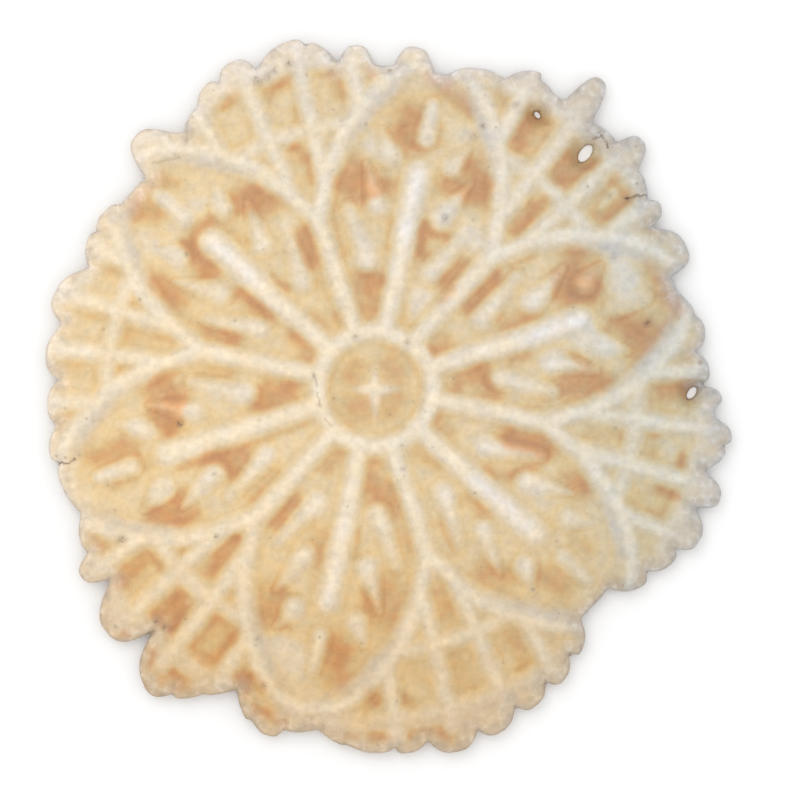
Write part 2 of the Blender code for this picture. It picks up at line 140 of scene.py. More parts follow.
# Where the batter browned: soft strokes, (across, out, across, out, half width, strength),
# their two ends in millimetres across and out from the hub along each petal, the petals
# counter-clockwise from the right-hand one. A minus strength is a paler, whiter stroke.
PETAL_BROWNING = ((
    (-5.4, 54.6, 3.0, 57.8, 2.0, 0.85), (5.6, 51.0, 5.0, 47.5, 3.5, 1.0),
    (3.2, 46.5, 3.3, 44.3, 1.3, 0.85), (8.5, 48.0, 9.4, 47.2, 1.5, 0.6),
    (-10.8, 43.0, -8.8, 41.0, 2.6, 0.9), (-8.5, 46.3, -4.8, 45.2, 1.4, 0.85),
    (-4.2, 43.5, -5.8, 38.5, 2.2, 0.95), (-6.6, 44.8, -6.0, 42.4, 1.3, 0.75),
    (11.8, 40.0, 11.2, 34.5, 2.7, 0.9), (8.3, 39.0, 6.3, 37.2, 1.3, 0.7),
    (-3.2, 32.0, -3.6, 27.0, 1.6, 0.7), (-12.2, 28.0, -8.4, 21.5, 1.3, 0.85),
    (3.2, 29.0, 3.5, 26.0, 1.2, 0.5), (3.6, 20.0, 7.5, 20.4, 1.7, 0.75),
    (3.8, 19.0, 4.0, 15.5, 1.6, 0.75), (-4.2, 15.5, -2.8, 12.6, 1.4, 0.65),
    (-13.8, 35.5, -13.2, 31.5, 0.9, 0.4), (12.3, 29.0, 12.6, 25.5, 1.2, 0.3),
    (3.0, 41.0, 6.5, 43.8, 2.2, -1.0), (5.5, 34.0, 6.0, 32.0, 1.4, -0.6),
    (-6.6, 34.5, -6.0, 32.5, 1.4, -0.55), (-3.0, 50.5, -10.0, 52.0, 3.0, -0.7),
    (6.0, 24.0, 8.0, 26.5, 1.3, -0.4), (0.0, 41.0, 0.0, 30.0, 1.5, -0.7),
), (
    (-0.6, 58.2, 6.4, 53.6, 1.8, 0.8), (-3.8, 50.5, -4.8, 47.0, 2.7, 0.95),
    (-3.8, 45.6, -0.6, 44.0, 1.7, 0.85), (-10.0, 38.5, -11.8, 35.3, 2.5, 0.95),
    (-8.5, 34.5, -5.0, 37.3, 1.6, 0.8), (9.2, 43.5, 12.2, 40.5, 2.2, 0.9),
    (5.2, 39.2, 9.5, 39.2, 1.5, 0.85), (10.6, 37.6, 11.8, 38.2, 1.7, 0.8),
    (3.0, 31.0, 3.5, 26.0, 1.4, 0.9), (5.2, 29.8, 7.2, 30.2, 1.0, 0.65),
    (11.8, 26.3, 8.7, 21.5, 1.2, 0.65), (-6.2, 19.6, -3.0, 19.6, 1.5, 0.8),
    (-4.6, 18.0, -3.6, 14.2, 1.7, 0.78), (2.3, 49.5, 2.8, 46.0, 0.9, 0.4),
    (-12.6, 28.0, -10.5, 23.0, 1.2, 0.4), (-3.0, 30.5, -2.8, 26.0, 1.0, 0.4),
    (2.6, 15.0, 4.0, 12.6, 1.6, 0.35), (-13.8, 31.0, -13.6, 29.0, 0.9, 0.35),
    (5.0, 18.5, 4.6, 16.0, 1.4, -0.6), (11.2, 31.8, 12.6, 30.2, 1.5, -0.7),
    (-6.2, 25.0, -6.0, 23.0, 1.5, -0.6), (6.6, 34.2, 5.8, 32.6, 1.5, -0.6),
    (-9.0, 43.5, -5.5, 43.0, 1.8, -0.6), (7.5, 50.0, 10.0, 50.0, 2.2, -0.2),
    (0.0, 42.0, 0.0, 28.0, 1.5, -0.9), (0.6, 53.0, 0.4, 47.5, 1.0, -0.6),
    (9.5, 18.0, 11.0, 20.5, 1.2, 0.6),
), (
    (-4.8, 53.5, -3.0, 51.5, 2.0, 0.75), (-3.5, 56.2, 3.2, 55.6, 1.7, 0.8),
    (3.0, 53.5, 3.6, 52.0, 1.2, 0.6), (-12.0, 42.5, -12.2, 37.0, 2.2, 0.8),
    (-3.6, 42.0, -4.2, 37.0, 1.9, 0.9), (-2.8, 42.8, 2.6, 42.8, 1.6, 0.8),
    (9.4, 42.0, 11.0, 40.6, 1.8, 0.8), (11.4, 39.5, 12.2, 36.5, 2.2, 0.8),
    (-12.2, 29.3, -10.4, 25.0, 1.4, 0.75), (-3.4, 29.8, -3.2, 23.0, 1.3, 0.85),
    (12.6, 28.6, 9.6, 24.2, 1.7, 0.85), (3.0, 27.5, 3.0, 24.0, 0.8, 0.5),
    (-2.8, 17.5, -3.4, 13.2, 1.4, 0.65), (2.8, 15.8, 5.6, 12.8, 1.5, 0.45),
    (4.0, 40.2, 4.6, 35.0, 0.9, 0.35), (7.2, 40.5, 10.0, 37.5, 1.2, 0.45),
    (-13.2, 33.0, -12.8, 31.5, 1.0, 0.3), (8.0, 20.5, 6.5, 18.0, 1.0, 0.3),
    (0.0, 52.0, 0.2, 48.0, 1.2, -0.8), (-6.2, 44.0, -6.6, 42.5, 1.7, -0.85),
    (6.2, 43.5, 6.8, 44.5, 1.3, -0.6), (-7.5, 50.0, -8.5, 47.5, 1.6, -0.45),
    (11.8, 32.5, 12.6, 31.6, 1.3, -0.5), (-6.2, 23.5, -5.8, 21.8, 1.3, -0.4),
    (6.0, 62.0, 5.0, 59.0, 3.0, -0.7), (-2.0, 46.0, 3.0, 46.2, 1.5, -0.45),
    (0.0, 41.0, 0.0, 29.0, 1.6, -0.9),
), (
    (3.4, 52.5, 4.2, 47.5, 2.1, 0.8), (-2.8, 51.5, -2.6, 47.5, 0.9, 0.5),
    (-1.0, 44.6, 3.0, 45.0, 0.9, 0.5), (-9.4, 45.6, -11.0, 41.8, 2.0, 0.9),
    (-11.6, 41.0, -12.0, 38.5, 1.3, 0.75), (-8.6, 41.2, -7.6, 39.6, 1.1, 0.75),
    (4.6, 38.2, 7.8, 39.6, 1.4, 0.9), (5.2, 36.6, 6.4, 37.6, 1.1, 0.8),
    (8.6, 35.4, 12.6, 36.6, 2.7, 0.9), (9.6, 40.2, 10.6, 39.6, 1.2, 0.55),
    (-3.4, 32.5, -6.8, 29.6, 1.7, 0.85), (-4.0, 30.5, -4.6, 27.0, 1.6, 0.8),
    (-3.0, 38.0, -3.0, 33.0, 0.9, 0.45), (12.4, 29.5, 10.4, 24.5, 1.0, 0.5),
    (3.6, 20.6, 4.6, 15.0, 1.8, 0.85), (6.0, 19.0, 6.4, 18.2, 1.2, 0.6),
    (-12.6, 27.5, -9.2, 22.5, 1.3, 0.45), (-2.8, 25.0, -2.6, 14.0, 0.8, 0.35),
    (-6.4, 43.2, -5.8, 42.6, 1.4, -1.2), (-7.6, 36.0, -6.2, 32.6, 1.3, -0.7),
    (5.6, 42.2, 6.6, 43.8, 1.4, -0.75), (6.0, 24.2, 6.8, 22.6, 1.3, -0.65),
    (5.2, 33.2, 5.6, 32.6, 1.2, -0.5), (-6.0, 23.5, -5.4, 21.5, 1.4, -0.45),
    (7.2, 28.5, 8.6, 31.0, 1.1, -0.4), (0.2, 53.0, -0.2, 47.0, 0.9, -0.6),
), (
    (-4.4, 53.5, -4.8, 48.5, 2.7, 0.8), (-3.6, 50.5, -3.0, 47.0, 1.4, 0.6),
    (-10.6, 41.0, -10.8, 36.0, 2.8, 0.7), (-8.2, 40.5, -6.2, 37.6, 1.0, 0.6),
    (10.2, 46.0, 9.6, 41.0, 2.6, 0.75), (6.5, 46.8, 8.0, 47.4, 1.0, 0.55),
    (3.6, 34.5, 4.2, 28.0, 1.6, 0.5), (12.6, 28.5, 9.4, 23.0, 1.1, 0.75),
    (-7.2, 20.6, -4.4, 18.6, 2.3, 0.8), (-4.4, 18.0, -3.2, 14.0, 1.5, 0.6),
    (5.6, 17.0, 3.6, 13.5, 1.3, 0.6), (-12.6, 28.5, -11.0, 25.5, 1.1, 0.4),
    (3.0, 64.0, 9.0, 62.6, 1.3, 0.8), (-13.5, 63.6, -8.0, 63.8, 1.0, 0.6),
    (-12.5, 56.0, -10.5, 54.0, 1.2, 0.45), (12.6, 59.0, 11.6, 57.2, 1.2, 0.75),
    (8.0, 58.0, 9.6, 56.0, 0.9, 0.5), (-3.0, 31.0, -2.8, 27.0, 0.9, 0.35),
    (-5.8, 43.6, -6.6, 44.8, 1.4, -0.7), (5.8, 43.6, 6.0, 42.8, 1.2, -1.3),
    (-6.2, 24.0, -5.6, 22.5, 1.5, -0.6), (5.8, 24.0, 6.6, 23.2, 1.4, -0.65),
    (-5.6, 34.0, -6.0, 32.4, 1.3, -0.4), (5.0, 35.0, 7.0, 38.0, 1.2, -0.35),
    (0.0, 41.5, 0.0, 26.0, 1.2, -0.5), (1.5, 61.5, -5.0, 60.5, 2.2, -0.7),
    (4.0, 52.5, 8.0, 50.0, 2.2, -0.75),
), (
    (-11.4, 41.5, -11.8, 38.0, 1.8, 0.8), (-12.6, 31.5, -9.8, 25.0, 2.0, 1.0),
    (-8.6, 32.2, -5.2, 29.5, 1.0, 0.55), (-4.4, 30.0, -3.2, 26.0, 1.2, 0.5),
    (3.4, 30.5, 4.0, 26.0, 1.2, 0.5), (11.6, 31.0, 10.0, 26.5, 1.2, 0.45),
    (-3.4, 16.0, -3.6, 12.8, 1.3, 0.45), (3.2, 18.5, 3.6, 14.5, 1.1, 0.5),
    (4.2, 51.0, 5.0, 46.5, 2.2, 0.7), (9.6, 41.5, 11.4, 38.0, 2.0, 0.75),
    (-3.0, 57.0, 3.0, 57.4, 1.2, 0.5), (-4.0, 49.5, -4.2, 46.5, 1.4, 0.45),
    (-6.0, 23.5, -5.6, 21.5, 1.5, -0.5), (6.0, 23.5, 5.6, 22.0, 1.4, -0.55),
    (-6.4, 35.5, -5.6, 33.0, 1.3, -0.4), (6.2, 43.4, 5.8, 42.6, 1.3, -0.5),
    (0.0, 38.0, 0.0, 26.0, 1.3, -0.6),
))
# The same for the corners between the petals, the first between the first two petals.
CORNER_BROWNING = ((
    (-10.8, 56.0, -9.6, 51.8, 2.1, 0.85), (-8.6, 58.4, -7.6, 56.0, 1.2, 0.35),
    (-1.0, 56.0, -0.6, 52.2, 1.8, 0.8), (1.6, 55.4, 1.2, 52.4, 1.3, 0.65),
    (11.6, 58.0, 10.6, 51.6, 1.4, 0.75), (8.0, 59.0, 8.6, 52.0, 1.1, 0.55),
    (0.0, 44.5, 0.0, 39.4, 1.2, 0.85), (0.2, 47.0, 0.2, 45.5, 1.0, 0.5),
    (2.8, 58.5, 3.0, 57.0, 1.0, 0.6), (18.0, 58.0, 18.4, 56.0, 1.2, 0.6),
    (9.0, 56.5, 9.2, 53.0, 0.5, -0.6), (-18.0, 56.5, -17.0, 55.0, 1.5, 0.35),
), (
    (-9.6, 58.0, -7.6, 59.0, 1.1, 0.55), (-10.0, 54.5, -8.5, 51.8, 1.8, 0.12),
    (-1.2, 57.2, 3.2, 59.4, 1.2, 0.65), (10.4, 57.5, 10.6, 53.0, 1.2, 0.6),
    (0.0, 46.6, 0.8, 44.5, 1.2, 0.65), (1.0, 43.5, 0.8, 40.0, 1.0, 0.45),
    (17.0, 57.0, 17.6, 55.0, 1.0, 0.45), (2.0, 53.0, 2.2, 51.5, 0.9, 0.35),
    (8.0, 59.0, 8.4, 58.0, 0.9, 0.35), (5.0, 62.5, 11.0, 61.5, 2.4, -0.6),
), (
    (-8.6, 59.0, -8.2, 52.0, 1.2, 0.38), (2.2, 58.0, 2.6, 51.0, 1.1, 0.4),
    (10.6, 55.5, 11.2, 51.0, 1.5, 0.45), (-2.4, 47.4, 2.0, 47.0, 1.4, 0.28),
    (0.4, 45.0, 0.6, 39.0, 1.1, 0.45), (-18.5, 56.0, -17.0, 54.0, 1.3, 0.4),
    (-7.0, 46.4, -5.4, 45.6, 0.9, 0.35), (6.0, 46.2, 7.0, 45.0, 0.9, 0.4),
    (-5.0, 58.0, -4.6, 53.0, 1.0, -0.6), (7.0, 48.8, 9.0, 48.0, 1.2, -0.4),
    (4.0, 58.5, 12.0, 56.5, 2.6, -0.6),
), (
    (-11.6, 58.0, -11.4, 52.0, 1.6, 0.66), (-7.6, 58.0, -7.2, 52.0, 1.2, 0.5),
    (-11.0, 51.4, -7.6, 51.0, 1.3, 0.5), (-10.0, 58.8, -8.5, 58.8, 1.0, 0.35),
    (-1.8, 58.5, -1.0, 53.6, 1.3, 0.95), (1.4, 58.5, 0.8, 53.0, 1.2, 0.95),
    (10.8, 58.5, 10.2, 51.8, 1.7, 0.85), (7.0, 51.0, 9.0, 50.5, 0.9, 0.5),
    (-0.2, 45.4, 0.2, 37.6, 1.1, 0.9), (-10.6, 64.2, -7.6, 66.8, 1.5, 0.58),
    (-12.0, 64.6, -7.6, 63.8, 0.9, 0.8), (-3.6, 65.6, -2.6, 63.6, 1.2, 0.65),
    (3.0, 64.8, 4.2, 64.4, 1.0, 0.75), (-19.5, 57.0, -17.6, 56.0, 1.5, 0.8),
    (17.6, 55.6, 19.6, 55.0, 1.2, 0.5), (5.6, 46.5, 6.6, 45.0, 0.9, 0.45),
    (-6.2, 46.5, -5.6, 45.2, 0.9, 0.4), (-1.5, 49.6, 2.0, 49.6, 0.8, -0.6),
    (8.2, 62.6, 8.6, 61.8, 1.0, -0.7),
), (
    (11.8, 58.5, 12.0, 56.0, 1.2, 0.55), (8.6, 53.5, 9.6, 52.0, 1.1, 0.35),
    (17.6, 55.5, 18.6, 53.0, 1.5, 0.55), (7.0, 66.4, 8.0, 65.4, 1.4, 0.6),
    (8.6, 64.0, 13.5, 63.2, 1.1, 0.6), (18.0, 62.2, 20.0, 61.4, 1.1, 0.6),
    (0.0, 57.0, 0.5, 52.5, 1.8, 0.5), (-10.4, 57.0, -9.6, 52.0, 1.6, 0.55),
    (0.0, 45.0, 0.0, 39.5, 1.1, 0.55),
), (
    (-11.8, 56.5, -9.8, 52.5, 2.0, 0.85), (0.6, 58.6, 2.2, 58.4, 1.1, 0.7),
    (-3.4, 60.0, -2.0, 60.0, 0.8, 0.45), (-1.4, 52.4, 1.0, 52.8, 1.1, 0.5),
    (8.0, 59.0, 7.6, 56.0, 1.2, 0.8), (8.4, 54.0, 8.6, 52.0, 1.0, 0.35),
    (-0.4, 46.6, 0.2, 40.5, 1.0, 0.5), (-17.5, 57.0, -16.5, 55.0, 1.2, 0.35),
    (11.6, 57.0, 10.8, 52.0, 1.4, 0.4),
))
# The same for the disc in the middle, in millimetres right and up from its centre.
DISC_BROWNING = (
    (-3.6, -4.0, -2.4, -3.2, 2.2, 0.65), (-4.4, 2.2, -3.2, 4.0, 1.5, 0.6),
    (3.0, -4.4, 4.2, -2.4, 1.9, 0.55), (3.0, 4.4, 4.4, 3.0, 1.9, 0.5),
    (-4.0, 0.0, 4.0, 0.0, 4.5, 0.33), (0.0, -6.5, -5.5, -3.0, 1.6, 0.2),
)

# Small dark pits and specks, (right, up, radius, darkness), in millimetres from the hub.
PITS = (
    (18.6, 46.1, 0.85, 0.4), (13.3, 31.2, 0.8, 0.45), (43.8, 35.4, 0.6, 0.3),
    (5.9, 48.3, 0.5, 0.4), (-35.6, -6.8, 0.55, 1.0), (-28.9, -27.5, 0.55, 0.55),
    (20.2, 48.2, 0.5, 0.55), (50.6, 11.9, 0.55, 0.8), (26.2, 52.0, 0.6, 0.4),
    (-20.1, -54.9, 0.6, 0.55), (6.3, 8.3, 0.65, 0.45), (-3.3, 9.3, 0.6, 0.4),
    (-10.9, 2.0, 0.45, 0.25), (-9.9, -3.0, 0.45, 0.25), (5.5, -15.0, 0.55, 0.4),
    (41.9, 47.0, 0.6, 0.45), (43.4, 44.6, 0.5, 0.3), (-21.2, 56.3, 0.95, 0.5),
    (-19.4, 57.3, 0.6, 0.5), (-18.2, 58.3, 0.6, 0.45), (-15.5, 59.7, 0.7, 0.55),
    (-7.7, 58.2, 0.6, 0.4), (-34.4, 45.8, 0.6, 0.4), (-29.3, -16.0, 0.5, 0.4),
    (-21.3, -46.3, 0.55, 0.35), (46.7, 34.7, 0.45, 0.75), (-46.3, -28.0, 0.8, 0.6),
    (44.5, 24.0, 0.5, 0.3), (10.2, 46.0, 0.45, 0.25), (30.5, 30.0, 0.45, 0.25),
    (-39.9, -43.2, 0.65, 0.55), (-38.6, -44.2, 0.65, 0.55), (-1.0, 54.0, 0.45, 0.2),
)
# Cracks, (from, to, half width, darkness), in the same millimetres.
CRACKS = (
    ((-58.1, -13.9), (-56.3, -14.0), 0.2, 0.7), ((-56.3, -14.0), (-54.9, -13.2), 0.17, 0.6),
    ((50.3, 35.4), (48.6, 35.3), 0.17, 0.6), ((48.6, 35.3), (46.8, 34.7), 0.2, 0.65),
    ((40.7, 45.8), (42.1, 46.5), 0.15, 0.45), ((42.1, 46.5), (43.4, 44.3), 0.22, 0.6),
    ((-11.0, 2.5), (-10.3, 0.4), 0.26, 0.3), ((-40.4, 41.4), (-35.7, 42.4), 0.36, 0.22),
    ((-10.3, -1.2), (-9.6, -3.5), 0.26, 0.3), ((-8.9, -6.0), (-7.4, -7.2), 0.24, 0.25),
)

RIM_ROUNDING = 1.7  # mm in from the edge over which the skin turns over
RIM_CREST = 2.1  # mm in from the edge, where the rim stands highest
RIM_HEIGHT = 0.4
FULL_HEIGHT = (THICKNESS - WEB) / 2
FIELD_DEPTH = 0.16  # mm that the fields between the ridges sink below the web
DISC_DEPTH = 0.22  # mm that the disc in the hub ring sinks
GROOVE_DEPTH = 0.12  # mm of the groove inside a petal's tip
CREASE_DEPTH = 0.3  # mm of the crease that runs in from a notch
PIT_DEPTH = 0.2  # mm of the darkest pit

HOLE_THINNING = 2.0  # mm out from a hole over which the batter reaches full thickness
HOLE_DROOP = 2.1  # mm that the thin torn edge of a hole sags
DROOP_REACH = 1.8  # mm out from a hole over which the sag fades
GRID = 0.52  # mm between the corners of the skin's squares
TURN_IN = 1.6  # mm in from the edge over which the squares crowd towards it
EVENING_ROUNDS = 6  # times that the squares along the edge are sorted and evened out
EDGE_REACH = 10.0  # mm of edge to either side that a point is measured against
EDGE_SPACING = 0.06  # mm between the points that stand for the edge
EDGE_INSET = 0.08  # mm that the baked edge keeps inside the outline
EDGE_ROUGHNESS = 0.1  # mm that it is uneven beyond that
NEAR_EDGE = 48.0  # mm from the hub, inside which every point is far from the edge
FAR_INSIDE = 20.0  # mm from the edge that such points are given


# ---- noise ----
def soft_noise(x, y, size, seed):
    """Value noise, -1 to 1: random heights on a square lattice of the given size, with
    the weight 3t^2 - 2t^3 between one lattice point and the next."""
    side = 64
    shift_x, shift_y = 31.7, 23.3    # so that no lattice line runs through the hub
    heights = np.random.default_rng(seed).uniform(-1.0, 1.0, (side, side))
    u, v = x / size + shift_x, y / size + shift_y
    column, row = np.floor(u).astype(int), np.floor(v).astype(int)
    s, t = u - column, v - row
    s, t = s * s * (3 - 2 * s), t * t * (3 - 2 * t)
    here, beside = column % side, (column + 1) % side
    low, high = row % side, (row + 1) % side
    bottom = heights[low, here] * (1 - s) + heights[low, beside] * s
    top = heights[high, here] * (1 - s) + heights[high, beside] * s
    return bottom * (1 - t) + top * t


def rough_noise(x, y, size, seed, layers=3):
    """Layers of soft noise, each half the size and half the strength of the last."""
    total = sum(soft_noise(x, y, size / 2 ** layer, seed + layer) / 2 ** layer
                for layer in range(layers))
    return total / (2 - 0.5 ** (layers - 1))


def wandered(x, y, layers):
    """The places moved about a little by layers of noise, (size, reach, seed); the noise
    for y has the next seed."""
    return [place + sum(reach * rough_noise(x, y, size, seed + axis)
                        for size, reach, seed in layers)
            for axis, place in enumerate((x, y))]


def smooth_step(low, high, value):
    """0 below low, 1 above high, 3t^2 - 2t^3 between."""
    t = np.clip((value - low) / (high - low), 0.0, 1.0)
    return t * t * (3 - 2 * t)


# ---- outline ----
def outline(angles):
    """Radius of the edge at the given angles, in degrees.

    A straight line in angle joins one notch to the next; on it stands a rounded arch,
    (1 - |2w - 1|^p)^q, with w bent so that the arch peaks at the lobe's own tip.
    """
    table = np.vstack((LOBES, LOBES[:1] + np.array((360.0, 0.0, 360.0, 0.0))))
    turned = table[0, 0] + np.mod(angles - table[0, 0], 360.0)
    lobe = np.clip(np.searchsorted(table[:, 0], turned, side="right") - 1, 0, len(LOBES) - 1)
    start, end = table[lobe], table[lobe + 1]
    span = end[:, 0] - start[:, 0]
    along = (turned - start[:, 0]) / span
    at_tip = (start[:, 2] - start[:, 0]) / span
    rise = end[:, 1] - start[:, 1]
    bent = along ** (np.log(0.5) / np.log(at_tip))
    arch = (1.0 - np.abs(2.0 * bent - 1.0) ** ARCH_ROUNDNESS) ** ARCH_SPREAD
    return start[:, 1] + rise * along + (start[:, 3] - start[:, 1] - rise * at_tip) * arch


def round_the_hub(radii, angles):
    """Places at the given distances and angles, in degrees, from the hub."""
    turns = np.radians(angles)
    return radii[:, None] * np.stack((np.cos(turns), np.sin(turns)), axis=1)


def baked_edge(angles):
    """Radius of the baked edge: the outline, drawn in a little and unevenly."""
    x, y = round_the_hub(np.full(angles.shape, BORDER_RADIUS), angles).T
    uneven = EDGE_ROUGHNESS * (1.0 + rough_noise(x, y, 1.3, 71))
    return outline(angles) - EDGE_INSET - uneven


def outline_points(spacing):
    """Points along the baked edge, evenly spaced along its length, and their angles: it is
    taken at many angles, and the length run so far is divided into equal steps."""
    tries = 40001
    angles = np.linspace(0.0, 360.0, tries)
    places = round_the_hub(baked_edge(angles), angles)
    lengths = np.hypot(*np.diff(places, axis=0).T)
    run = np.concatenate(((0.0,), np.cumsum(lengths)))
    steps = np.linspace(0.0, run[-1], int(run[-1] / spacing), endpoint=False)
    even = np.stack([np.interp(steps, run, places[:, axis]) for axis in (0, 1)], axis=1)
    return even, np.interp(steps, run, angles)


EDGE_POINTS, EDGE_ANGLES = outline_points(EDGE_SPACING)
HUB = (WAFER_BOX[0, :2] + WAFER_BOX[1, :2]) / 2 - HUB_TO_MIDDLE


def edge_distance(x, y):
    """Distance inward from the edge, negative outside it, and the nearest edge point.

    Each point is measured against the stretch of edge about its own angle; points well
    inside are given a plain large distance.
    """
    distance = np.full(x.shape, FAR_INSIDE)
    nearest = np.stack((x, y), axis=-1)
    near = np.flatnonzero(np.hypot(x, y) > NEAR_EDGE)
    place = nearest[near]
    angle = np.mod(np.degrees(np.arctan2(place[:, 1], place[:, 0])), 360.0)
    here = np.searchsorted(EDGE_ANGLES, angle)
    reach = int(EDGE_REACH / EDGE_SPACING)
    window = (here[:, None] + np.arange(-reach, reach + 1)[None, :]) % len(EDGE_POINTS)
    squared = ((EDGE_POINTS[window] - place[:, None, :]) ** 2).sum(axis=2)
    best = squared.argmin(axis=1)
    row = np.arange(len(near))
    inside = np.hypot(place[:, 0], place[:, 1]) < baked_edge(angle)
    distance[near] = np.sqrt(squared[row, best]) * np.where(inside, 1.0, -1.0)
    nearest[near] = EDGE_POINTS[window[row, best]]
    return distance, nearest


# ---- the pattern's relief ----
def turned_into(x, y, first):
    """Distances to the side of and out along the nearest of the directions from the hub,
    the first at the given angle, and that direction's number."""
    angle = np.degrees(np.arctan2(y, x)) - first
    sector = np.round(angle / SECTOR).astype(int) % PETALS
    local = np.radians(np.mod(angle + SECTOR / 2, SECTOR) - SECTOR / 2)
    radius = np.hypot(x, y)
    return np.abs(radius * np.sin(local)), radius * np.cos(local), sector


def section(ratio):
    """Rounded section of a ridge: half a cosine wave, 1 on the crest, a half at the half
    width and 0 at twice that."""
    return 0.5 + 0.5 * np.cos(np.pi / 2 * np.clip(ratio, 0.0, 2.0))


def from_line(across, out, start, end):
    """Distance to the nearest point of a straight line, and how far along it lies, 0 to 1."""
    run = end - start
    t = ((across - start[0]) * run[0] + (out - start[1]) * run[1]) / (run @ run)
    t = np.clip(t, 0.0, 1.0)
    return np.hypot(across - start[0] - t * run[0], out - start[1] - t * run[1]), t


def stroke_ridge(across, out, stroke):
    """Distance in half widths from a straight ridge, and its height there: the nearest
    point of the line from head to tail gives the local half width and height."""
    head, tail, half_widths, heights = (np.array(part) for part in stroke)
    distance, t = from_line(across, out, head, tail)
    half_width = half_widths[0] + (half_widths[1] - half_widths[0]) * t
    return distance / half_width, heights[0] + (heights[1] - heights[0]) * t


def path_distance(across, out, path):
    """Distance to the nearest point of a run of short straight pieces."""
    return np.min([from_line(across, out, start, end)[0]
                   for start, end in zip(path[:-1], path[1:])], axis=0)


def petal_side():
    """From the fork of two separators, tangent to an ellipse, up to the petal's tip."""
    half_sector = np.pi / PETALS
    fork = FORK * SEPARATOR_END * np.array((np.sin(half_sector), np.cos(half_sector)))
    turns = np.radians(np.linspace(1.0, 90.0, 26))
    sweep = np.stack((PETAL_HALF_WIDTH * np.cos(turns),
                      PETAL_CENTRE + PETAL_HALF_LENGTH * np.sin(turns)), axis=1)
    return np.vstack((fork, sweep))


def highest(parts, sharpness=7.0):
    """Soft maximum of several reliefs: the p-th root of the sum of their p-th powers."""
    total = sum(np.clip(part, 0.0, None) ** sharpness for part in parts)
    return total ** (1.0 / sharpness)


def star_relief(x, y):
    """Four tapering points: along each arm the height and the half width fall from the
    middle to the tip, and across it runs the ridge section."""
    tip_half_width, further_half_width = 0.3, 1.0
    arms = []
    for along, beside, (ahead, behind) in zip((x, y), (y, x), STAR_REACH):
        left = np.clip(1.0 - np.abs(along) / np.where(along > 0.0, ahead, behind), 0.0, 1.0)
        half_width = tip_half_width + further_half_width * left
        arms.append(left * section(np.abs(beside) / half_width))
    return STAR_HEIGHT * np.maximum(*arms)


def constant_ridge(distance, size):
    """Distance in half widths from a ridge of one size, and its height."""
    half_width, height = size
    return distance / half_width, height


def petal_border(across, out):
    """The ridge round a petal, the plain distance from its line, the distance inward from
    its crest, and whether a place is in the petal. The crest bows inward half way up, and
    the inner flank is the wider one except at the tip."""
    line = path_distance(across, out, petal_side())
    inside = (np.hypot(across / PETAL_HALF_WIDTH,
                       np.clip(out - PETAL_CENTRE, 0, None) / PETAL_HALF_LENGTH) < 1.0)
    bow = smooth_step(33.0, 37.0, out) * (1.0 - smooth_step(44.0, 50.0, out))
    from_crest = line * np.where(inside, 1.0, -1.0) + 0.45 * bow
    inner = 1.3 + 0.4 * smooth_step(34.0, 40.0, out) - 0.8 * smooth_step(53.0, 58.5, out)
    outer = 1.15
    half_width = np.where(from_crest > 0.0, inner, outer)
    return (np.abs(from_crest) / half_width, PETAL_HEIGHT), line, from_crest, inside


def corner_arcs(radius, wide, along):
    """The cross and border ridges of a corner: stretches of circles round the hub, with
    the distance past an end counted nearly in full."""
    spread = np.degrees(np.arctan2(wide, along))
    cross = np.hypot(radius - CROSS_RADIUS, np.clip(spread - CROSS_SPREAD, 0, None) * 0.85)
    border = np.hypot(radius - BORDER_RADIUS, np.clip(spread - BORDER_SPREAD, 0, None) * 1.06)
    return [constant_ridge(cross, CROSS_SECTION), constant_ridge(border, BORDER_SECTION)]


def pattern(x, y):
    """Relief above the web, in mm, and four shares the face is shaped and coloured by: the
    line along the ridges' feet, browned and with painted shade, the shoulder, the groove and
    the inner flank of the petals' borders, with painted shade. Every ridge is its height
    times the section of its distance."""
    hub_x, hub_y = x - HUB_SHIFT[0], y - HUB_SHIFT[1]
    across, out, number = turned_into(x, y, PETAL_TURN)
    wide, along, _ = turned_into(x, y, CORNER_TURN)
    petal, line, from_crest, inside = petal_border(across, out)
    from_ring = np.abs(np.hypot(hub_x, hub_y) - RING_RADIUS)
    tip_ratio, tip_height = stroke_ridge(across, out, TIP_STROKE)
    ridges = corner_arcs(np.hypot(x, y), wide, along)
    ridges += [petal, constant_ridge(from_ring, RING_SECTION)]
    ridges += [stroke_ridge(across, out, stroke) for stroke in (SPINE,) + DASHES]
    ridges += [(tip_ratio, tip_height * np.array(TIP_FULLNESS)[number])]
    ridges += [stroke_ridge(wide, along, stroke) for stroke in LATTICE_RIBS + (SEPARATOR,)]
    relief = highest([height * section(ratio) for ratio, height in ridges]
                     + [star_relief(hub_x, hub_y)])

    nearest = np.min([ratio for ratio, _ in ridges], axis=0)
    # Browning, with painted shade, along the feet of the ridges.
    foot_toast_and_shade = np.exp(-((nearest - 1.95) / 0.45) ** 2)
    towards_tip = smooth_step(34.0, 46.0, out) * inside
    shoulder = 0.4 * np.exp(-(line / 2.6) ** 2) * towards_tip
    groove = np.exp(-((line - 3.2) / 0.8) ** 2) * towards_tip
    # Painted shade on the inner flank of each petal's border towards its tip.
    slope_shade = np.exp(-((from_crest - 1.9) / 1.3) ** 2) * smooth_step(40.0, 50.0, out)
    slope_shade *= 1.0 - 0.8 * smooth_step(53.0, 58.5, out)
    return relief, foot_toast_and_shade, shoulder, groove, slope_shade


def notch_crease(x, y, from_edge):
    """Share of the crease that runs in from each notch between two lobes: it fades as
    exp(-(d / 0.9)^2) to the sides, d in mm, and as exp(-(e / 3)^2) at e mm from the edge."""
    radius = np.hypot(x, y)
    angle = np.degrees(np.arctan2(y, x))
    notches = np.concatenate([LOBES[:, 0] + turn for turn in (-360.0, 0.0, 360.0)])
    after = np.searchsorted(notches, angle)
    gap = np.minimum(np.abs(angle - notches[after]), np.abs(angle - notches[after - 1]))
    return np.exp(-(radius * np.radians(gap) / 0.9) ** 2 - (from_edge / 3.0) ** 2)


